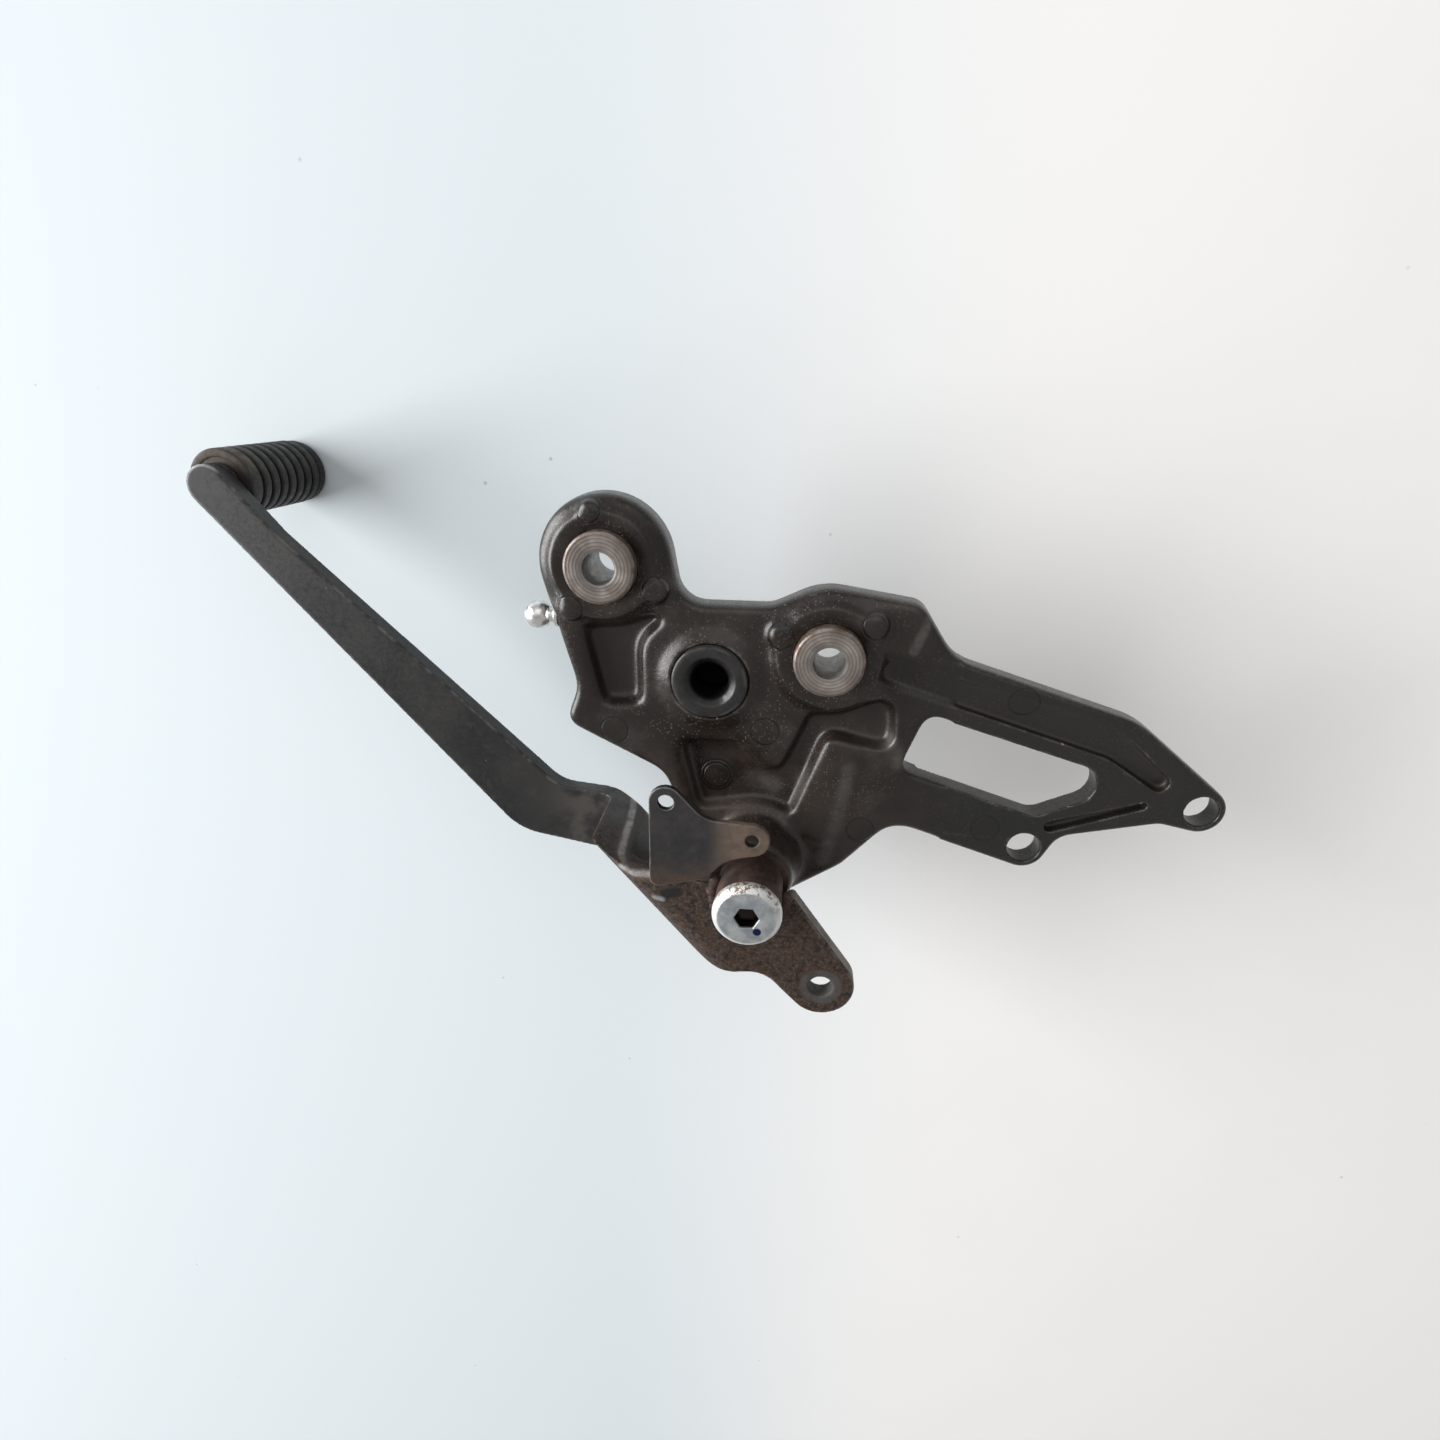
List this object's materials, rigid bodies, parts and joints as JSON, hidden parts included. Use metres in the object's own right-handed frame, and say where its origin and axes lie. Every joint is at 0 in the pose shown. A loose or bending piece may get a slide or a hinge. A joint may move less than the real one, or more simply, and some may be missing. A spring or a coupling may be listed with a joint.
{
  "type": "motorbike footrest bracket",
  "caption": "Right-hand cast footrest bracket with frame collars and a truss tail, carrying a joggled rear brake pedal that turns on a shoulder bolt and ends in a ribbed toe peg.",
  "frame": {"origin": "on the front frame bolt's axis, level with the casting's inner face", "axes": "+X rearward along the machine, +Y upward on the machine, +Z inboard along the bolt axes"},
  "size_m": [0.3015, 0.1552, 0.0924],
  "materials": {
    "cast_black": "satin black cast, dusty",
    "turned_steel": "turned, dull",
    "black_steel": "satin black",
    "bright_steel": "polished",
    "zinc_plate": "zinc plated, spotted with rust",
    "dirty_steel": "greasy and rusty",
    "lever_black": "satin black, worn and rusty",
    "toe_rubber": "ribbed, dusty"
  },
  "bodies": {
    "bracket": {"bracket_casting": "cast_black", "front_frame_collar": "turned_steel", "rear_frame_collar": "turned_steel", "centre_collar": "black_steel", "ball_stud": "bright_steel", "pivot_bolt": "zinc_plate", "pivot_washer": "dirty_steel"},
    "pedal": {"pedal_lever": "lever_black", "pivot_tube": "dirty_steel", "spring_plate": "lever_black", "toe_pin": "dirty_steel", "toe_rubber": "toe_rubber"}
  },
  "joints": [
    {"name": "pedal_pivot", "type": "hinge", "parent": "bracket", "child": "pedal", "pos_m": [0.0415, -0.0872, 0.0212], "axis": [0, 0, 1], "range_deg": [-8, 15]}
  ]
}
